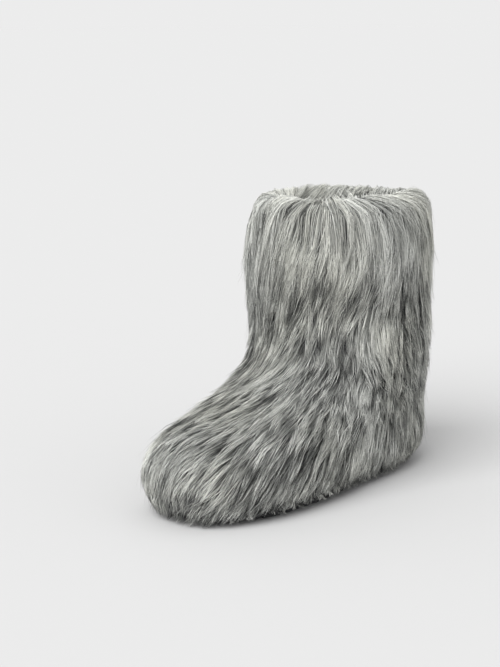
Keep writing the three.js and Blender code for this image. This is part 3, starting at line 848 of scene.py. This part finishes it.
def hair_mesh(middle, out, width):
    """Closed strands: a three-cornered ring at each point of a line but the last, which is the tip,
    with a ridge outwards. Returns points and faces of four and three corners."""
    count, places = middle.shape[:2]
    rings = places - 1
    ahead = unit(np.gradient(middle, axis=1))
    side = unit(np.cross(ahead, out))
    over = np.cross(side, ahead)
    taper = np.linspace(0, 1, places)[:rings]
    half = (width[:, None] / 2 * (1 - taper ** 2.2) * (0.75 + 0.25 * np.minimum(taper * 4, 1)))[..., None]
    base = middle[:, :rings]
    corners = np.stack([
        base + over[:, :rings] * half * 0.9,
        base - side[:, :rings] * half - over[:, :rings] * half * 0.35,
        base + side[:, :rings] * half - over[:, :rings] * half * 0.35,
    ], 2)
    points = np.concatenate([corners.reshape(count, rings * 3, 3), middle[:, -1:]], 1)
    size = rings * 3 + 1
    first = np.arange(count)[:, None] * size
    quads = []
    for ring in range(rings - 1):
        for corner in range(3):
            a, b = ring * 3 + corner, ring * 3 + (corner + 1) % 3
            quads.append(first + np.array([a, b, b + 3, a + 3]))
    last = (rings - 1) * 3
    tips = [first + np.array([last + c, last + (c + 1) % 3, rings * 3]) for c in range(3)]
    caps = first + np.array([0, 2, 1])
    return points.reshape(-1, 3), [np.concatenate(quads), np.concatenate([*tips, caps])]


def spread_to_points(values, rings):
    """A value at each place of each strand, given to the three corners of its ring and to its tip."""
    return np.concatenate([np.repeat(values[:, :rings], 3, 1), values[:, rings:]], 1).ravel()


def hair_tone(around, lift, hairs, middle, share, rng):
    """Tone along each hair, from 0 to 1: the body's tone at its tip, with its painted light and shade,
    chance for its lock and for itself, a share of very dark hairs that partly paint thin shadows
    between the hairs, darker at its root, paler at its tip on the shaft, and the tufts' change, whose
    darker spots are partly painted shade. The darker tufts take some locks strongly and spare the
    others."""
    height = np.repeat(lift, hairs)
    top = smoothstep(lift, 0.8, 1.0)
    dark = rng.uniform(0, 1, len(around)) < mix(*DARK_LOCKS, top)
    lock_tone = rng.normal(0.06, mix(0.22, 0.13, top)) - np.where(dark, DARK_LOCK_TONE, 0)
    tone = body_tone(np.repeat(around, hairs), height, middle[:, -2]) + np.repeat(lock_tone, hairs)
    tone = tone + rng.normal(0.03, mix(0.18, 0.11, smoothstep(height, 0.8, 1.0)))
    # Very dark hairs: partly dark hair and partly painted shade, thin shadows between the hairs.
    tone = tone - np.where(rng.uniform(0, 1, len(tone)) < DARK_HAIRS_AND_SHADOWS, DARK_HAIR_AND_SHADOW_TONE, 0)
    root = mix(1.0, 0.2, smoothstep(height, 0.95, 1.25))[:, None]
    along = root * np.interp(share, [0.0, 0.2, 0.5, 0.8, 1.0], [-0.6, -0.36, -0.06, 0.08, 0.14])
    pale_tip = np.interp(share, [0.0, 0.3, 0.6, 0.85, 1.0], [-0.04, -0.06, -0.03, 0.10, 0.18])
    along = along + smoothstep(height, 0.85, 1.0)[:, None] * pale_tip
    # The tufts' change, whose darker spots are partly painted shade.
    tufts = tuft_and_shade_tone(middle)
    taken = np.where(rng.uniform(0, 1, len(around)) < TAKEN_LOCKS, TAKEN_STRENGTH, SPARED_STRENGTH)
    taken = (np.repeat(taken, hairs) * rng.uniform(0.5, 1.5, len(tone)))[:, None]
    along = along + np.where(tufts < 0, taken, LIGHT_TUFT_STRENGTH) * tufts
    return np.clip(tone[:, None] + along, 0, 1)


def hair_piece(row, settings):
    """Guard hair between two lifts: scattered locks, their hairs, and each hair's tone and warmth."""
    name, low, high, spacing, hairs, length, rings, spread, gather, width, seed = row
    rng = np.random.default_rng(seed)
    around, lift = scatter(low, high, spacing, rng)
    inward = name == "pile_inside"
    lengths = length * settings.hair_length * rng.uniform(0.8, 1.25, len(around))
    puffs = rng.uniform(0.0, 2.5, len(around)) * (0.4 if inward else 1 + 1.2 * bell(lift, 1.6, 0.25))
    puffs = puffs + 0.8 * waves(pile_point(around, lift, 0.0), 24, PUFF_SEED)
    points, out, side = guides(around, lift, lengths, puffs, inward, rng)
    middle, outs, share = strands_from(points, out, side, hairs, spread, gather, rings, rng)
    middle[..., 2] = np.maximum(middle[..., 2], FLOOR_CLEARANCE - SHIFT[2])
    widths = width * settings.hair_width * rng.uniform(0.7, 1.3, len(middle))
    piece = pile_piece(name, *hair_mesh(middle, outs, widths), "Pile")
    tone = hair_tone(around, lift, hairs, middle, share, rng)
    set_attribute(piece, "tone", spread_to_points(tone, rings))
    warmth = 0.25 + 0.4 * waves(middle[:, -2], 90, WARMTH_SEED) + rng.normal(0, 0.12, len(middle))
    warmth = np.clip(np.repeat(warmth[:, None], rings + 1, 1), 0, 1)
    set_attribute(piece, "warm", spread_to_points(warmth, rings))


# Pieces
def make_underfur():
    """The underfur: a closed sleeve. Its outer rings follow the pile's surface a little below it, with
    lumps from two sizes of noise, and its inner rings follow the upper's wall."""
    columns, hem_rows, body_rows, rim_rows, wall_rows = 120, 6, 62, 34, 14
    around = np.arange(columns) / columns
    body, rim = np.linspace(0, 1, body_rows), np.linspace(1, 3, rim_rows)
    lifts = np.concatenate([np.linspace(-1, 0, hem_rows), body[1:], rim[1:]])
    turn, lift = np.meshgrid(around, lifts)
    skin = pile_point(turn, lift, np.minimum(hair_proud(turn, lift), 0) - underfur_depth(lift))
    out = unit(pile_point(turn, lift, 1.0) - pile_point(turn, lift, 0.0))
    lumps = 0.9 * waves(skin, 14, LUMP_SEED) + 0.6 * waves(skin, 6, LUMP_SEED + 1)
    skin = skin + out * (lumps * (1 - smoothstep(lift, 1.2, 2) * 0.6))[..., None]
    level = np.ones(columns)
    clear = 2 * GAP
    wall_top = [shell_point(around, level, d * level) + [0, 0, clear] for d in (-clear, WALL + clear)]
    rises = np.linspace(0.95, 0.08, wall_rows)
    wall = [shell_point(around, rise * level, (WALL + clear) * level) for rise in rises]
    foot = shell_point(around, 0 * level, (WALL + SOLE_REVEAL + clear) * level)
    hem = foot.copy()
    hem[:, 2] = HEM_HEIGHT
    lining = shell_point(around, 0.86 * level, -clear * level)
    lining[:, 2] = skin[-1, :, 2]
    rings = [*skin, lining, *wall_top, *wall, foot, hem]
    piece = pile_piece("underfur", np.concatenate(rings), [ring_faces(len(rings), columns)], "Underfur")
    tone = np.zeros((len(rings), columns))
    # The body's tone, with its painted light and shade.
    tone[:len(skin)] = body_tone(turn, lift, skin)
    set_attribute(piece, "tone", np.clip(tone, 0, 1))


# Name, lowest and highest lift, spacing of locks, hairs in each, length, rings of a hair, how far a
# lock spreads at its root, how much of that it loses at its tip, width of a hair, and seed
HAIR_PIECES = (
    ("pile_hem", -0.8, 0.0, 6.0, 10, 22, 3, 3.4, 0.6, 0.58, 101),
    ("pile_foot_low", 0.0, 0.20, 7.0, 13, 42, 3, 4.8, 0.72, 0.54, 102),
    ("pile_foot_high", 0.20, 0.37, 7.0, 13, 46, 3, 4.8, 0.72, 0.54, 103),
    ("pile_ankle", 0.37, 0.62, 7.0, 13, 44, 3, 4.8, 0.72, 0.54, 104),
    ("pile_shaft_low", 0.62, 0.80, 7.0, 13, 38, 3, 4.6, 0.72, 0.54, 105),
    ("pile_shaft_high", 0.80, 1.02, 6.5, 12, 40, 3, 4.2, 0.74, 0.54, 108),
    ("pile_collar", 1.02, 1.42, 6.2, 21, 60, 4, 5.0, 0.74, 0.48, 106),
    ("pile_crest", 1.42, 1.95, 5.6, 15, 76, 6, 4.6, 0.68, 0.48, 109),
    ("pile_inside", 1.65, 2.95, 5.5, 10, 24, 2, 3.4, 0.6, 0.64, 107),
)


def dress_node(name, material):
    """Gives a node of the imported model, which is shown as it is, its finished material."""
    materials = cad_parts[name].data.materials
    materials.clear()
    materials.append(material)


# Settings
def colour_setting(name, about, default):
    """A colour that a user may change."""
    return bpy.props.FloatVectorProperty(
        name=name, description=about, default=default, subtype="COLOR", size=3, min=0, max=1,
    )


def number_setting(name, about, default, low, high, **kind):
    """A size, angle, strength or factor that a user may change."""
    return bpy.props.FloatProperty(name=name, description=about, default=default, min=low, max=high, **kind)


class PileSettings(bpy.types.PropertyGroup):
    """Sizes and colours of the pile."""

    hair_length: number_setting("Hair length", "Length of the hair, as a share of its own", 1.0, 0.4, 1.5)
    hair_width: number_setting("Hair width", "Width of the hair, as a share of its own", 1.0, 0.4, 2.5)
    root_colour: colour_setting("Root", "Colour of the darkest hair", (0.012, 0.013, 0.013))
    middle_colour: colour_setting("Middle", "Colour of the hair's middle tone", (0.28, 0.288, 0.272))
    tip_colour: colour_setting("Tip", "Colour of the lightest hair", (0.88, 0.89, 0.85))
    warm_tint: colour_setting("Warm tint", "Tint of the warmer hair", (1.0, 0.985, 0.92))


class SoleSettings(bpy.types.PropertyGroup):
    """Colours of the sole, the lining and the insole."""

    rubber_colour: colour_setting("Rubber", "Colour of the outsole", (0.018, 0.019, 0.02))
    lining_colour: colour_setting("Lining", "Colour of the upper's lining", (0.10, 0.10, 0.095))
    insole_colour: colour_setting("Insole", "Colour of the insole's cover", (0.11, 0.105, 0.10))


class StageSettings(bpy.types.PropertyGroup):
    """Floor, light and camera."""

    floor_colour: colour_setting("Floor", "Colour of the floor", (0.585, 0.585, 0.585))
    backdrop_colour: colour_setting("Backdrop", "Colour seen past the floor", (0.84, 0.84, 0.84))
    sun_strength: number_setting("Sun", "Strength of the broad soft light", 2.9, 0.0, 20.0)
    sun_angle: number_setting(
        "Sun angle", "Width of the broad soft light", np.radians(50), 0.0, np.pi, subtype="ANGLE",
    )
    sky_strength: number_setting("Sky", "Strength of the light from all round", 0.75, 0.0, 10.0)
    camera_distance: number_setting(
        "Camera distance", "From the camera to the boot's middle", 1.2, 0.5, 10.0, unit="LENGTH",
    )
    camera_azimuth: number_setting(
        "Camera azimuth", "Camera's turn from the toe to the outer side", np.radians(40.8), -TAU, TAU,
        subtype="ANGLE",
    )
    camera_elevation: number_setting(
        "Camera elevation", "Camera's height as an angle", np.radians(13), 0.0, np.pi / 2, subtype="ANGLE",
    )


# Operators
class BOOT_OT_materials(bpy.types.Operator):
    """Make the materials of the pile"""

    bl_idname = "boot.materials"
    bl_label = "Materials"

    def execute(self, context):
        pile_material(context.scene.boot_pile)
        underfur_material(context.scene.boot_pile)
        return {"FINISHED"}


class BOOT_OT_underfur(bpy.types.Operator):
    """Lay the underfur over the upper"""

    bl_idname = "boot.underfur"
    bl_label = "Underfur"

    def execute(self, context):
        make_underfur()
        return {"FINISHED"}


class BOOT_OT_guard_hair(bpy.types.Operator):
    """Root the guard hair in the underfur"""

    bl_idname = "boot.guard_hair"
    bl_label = "Guard hair"

    def execute(self, context):
        for row in HAIR_PIECES:
            hair_piece(row, context.scene.boot_pile)
        return {"FINISHED"}


class BOOT_OT_sole(bpy.types.Operator):
    """Finish the outsole, the insole and the upper's lining"""

    bl_idname = "boot.sole"
    bl_label = "Sole and lining"

    def execute(self, context):
        settings = context.scene.boot_sole
        dress_node("outsole", rubber_material(settings))
        dress_node("insole", cloth_material("Insole felt", tuple(settings.insole_colour), 500.0))
        dress_node("upper", cloth_material("Lining", tuple(settings.lining_colour), 260.0))
        return {"FINISHED"}


# Stage. The camera is fitted to the photograph, whose frame gives the pixels. Lengths are in metres,
# and the sensor's in millimetres.
FRAME_WIDTH = 500
FRAME_HEIGHT = 667
CAMERA_FOCUS = 1387
TARGET_HEIGHT = 0.125
TARGET_PIXEL = (295.2, 345.0)
SENSOR = 36
CLIP_END = 1000
FLOOR_RADIUS = 300
FLOOR_CORNERS = 64
SUN_AZIMUTH = np.radians(8)
SUN_ELEVATION = np.radians(48)


def direction(azimuth, elevation):
    """The way out from the boot at an azimuth, from the toe to the outer side, and an elevation."""
    level = np.cos(elevation)
    return Vector((np.sin(azimuth) * level, -np.cos(azimuth) * level, np.sin(elevation)))


def make_camera(settings):
    """A camera round the boot. It looks at the target and is then turned so that the target falls on
    its pixel in the frame."""
    data = bpy.data.cameras.new("camera")
    camera = bpy.data.objects.new("camera", data)
    bpy.context.scene.collection.objects.link(camera)
    back = direction(settings.camera_azimuth, settings.camera_elevation)
    place = Vector((0, 0, TARGET_HEIGHT)) + back * settings.camera_distance
    look = (-back).to_track_quat("-Z", "Y").to_matrix()
    seen = Vector((
        (TARGET_PIXEL[0] - FRAME_WIDTH / 2) / CAMERA_FOCUS,
        (FRAME_HEIGHT / 2 - TARGET_PIXEL[1]) / CAMERA_FOCUS,
        -1,
    ))
    turn = seen.rotation_difference(Vector((0, 0, -1))).to_matrix()
    camera.matrix_world = Matrix.Translation(place) @ (look @ turn).to_4x4()
    data.sensor_width = SENSOR
    data.lens = CAMERA_FOCUS / FRAME_HEIGHT * SENSOR
    data.clip_end = CLIP_END
    bpy.context.scene.camera = camera


def make_floor(colour):
    """A wide pale floor: one face with its corners on a circle."""
    turn = np.arange(FLOOR_CORNERS) / FLOOR_CORNERS * TAU
    rim = np.stack([np.cos(turn), np.sin(turn), 0 * turn], -1) * FLOOR_RADIUS
    mesh = bpy.data.meshes.new("floor")
    mesh.from_pydata(rim.tolist(), [], [list(range(FLOOR_CORNERS))])
    floor = bpy.data.objects.new("floor", mesh)
    bpy.context.scene.collection.objects.link(floor)
    material, _, shader = new_material("Floor")
    shader.inputs["Base Color"].default_value = (*colour, 1)
    set_values(shader, Roughness=1.0, Specular_IOR_Level=0.0)
    mesh.materials.append(material)


def make_sun(strength, width):
    """A broad soft light from high on the toe's side: a sun of a wide angle, so that the floor is
    evenly lit and shadows stay soft."""
    data = bpy.data.lights.new("broad light", "SUN")
    data.energy = strength
    data.angle = width
    light = bpy.data.objects.new("broad light", data)
    light.rotation_euler = direction(SUN_AZIMUTH, SUN_ELEVATION).to_track_quat("Z", "Y").to_euler()
    bpy.context.scene.collection.objects.link(light)


def make_sky(backdrop, strength):
    """Even white light from all round, in place of which the camera sees the backdrop's colour."""
    world = bpy.data.worlds.new("studio")
    world.use_nodes = True
    tree = world.node_tree
    seen = tree.nodes["Background"]
    seen.inputs["Color"].default_value = (*backdrop, 1)
    even = node(tree, "ShaderNodeBackground", Color=(1, 1, 1, 1), Strength=strength)
    to_camera = node(tree, "ShaderNodeLightPath").outputs["Is Camera Ray"]
    mixed = node(tree, "ShaderNodeMixShader", _0=to_camera, _1=even.outputs[0], _2=seen.outputs[0])
    tree.links.new(mixed.outputs[0], tree.nodes["World Output"].inputs["Surface"])
    bpy.context.scene.world = world


class BOOT_OT_stage(bpy.types.Operator):
    """Set the floor, the light and the camera"""

    bl_idname = "boot.stage"
    bl_label = "Stage"

    def execute(self, context):
        settings = context.scene.boot_stage
        make_camera(settings)
        make_floor(tuple(settings.floor_colour))
        make_sun(settings.sun_strength, settings.sun_angle)
        make_sky(tuple(settings.backdrop_colour), settings.sky_strength)
        context.scene.view_settings.view_transform = "Standard"
        return {"FINISHED"}


class BOOT_PT_panel(bpy.types.Panel):
    """The boot's pieces, in the 3D view's sidebar"""

    bl_idname = "BOOT_PT_panel"
    bl_label = "Boot"
    bl_space_type = "VIEW_3D"
    bl_region_type = "UI"
    bl_category = "Boot"

    def draw(self, context):
        for operator in OPERATORS:
            self.layout.operator(operator.bl_idname)
        for group, kind in SETTINGS.items():
            for name in kind.__annotations__:
                self.layout.prop(getattr(context.scene, group), name)


OPERATORS = (BOOT_OT_materials, BOOT_OT_underfur, BOOT_OT_guard_hair, BOOT_OT_sole, BOOT_OT_stage)
SETTINGS = {"boot_pile": PileSettings, "boot_sole": SoleSettings, "boot_stage": StageSettings}
CLASSES = (*SETTINGS.values(), *OPERATORS, BOOT_PT_panel)


def register():
    """Adds the classes, and the settings to the scene."""
    for cls in CLASSES:
        bpy.utils.register_class(cls)
    for name, kind in SETTINGS.items():
        setattr(bpy.types.Scene, name, bpy.props.PointerProperty(type=kind))


def unregister():
    """Takes away what register adds."""
    for name in SETTINGS:
        delattr(bpy.types.Scene, name)
    for cls in reversed(CLASSES):
        bpy.utils.unregister_class(cls)


def main():
    """Dresses the boot and sets the stage."""
    register()
    bpy.ops.boot.materials()
    bpy.ops.boot.underfur()
    bpy.ops.boot.guard_hair()
    bpy.ops.boot.sole()
    bpy.ops.boot.stage()


if __name__ == "__main__":
    main()
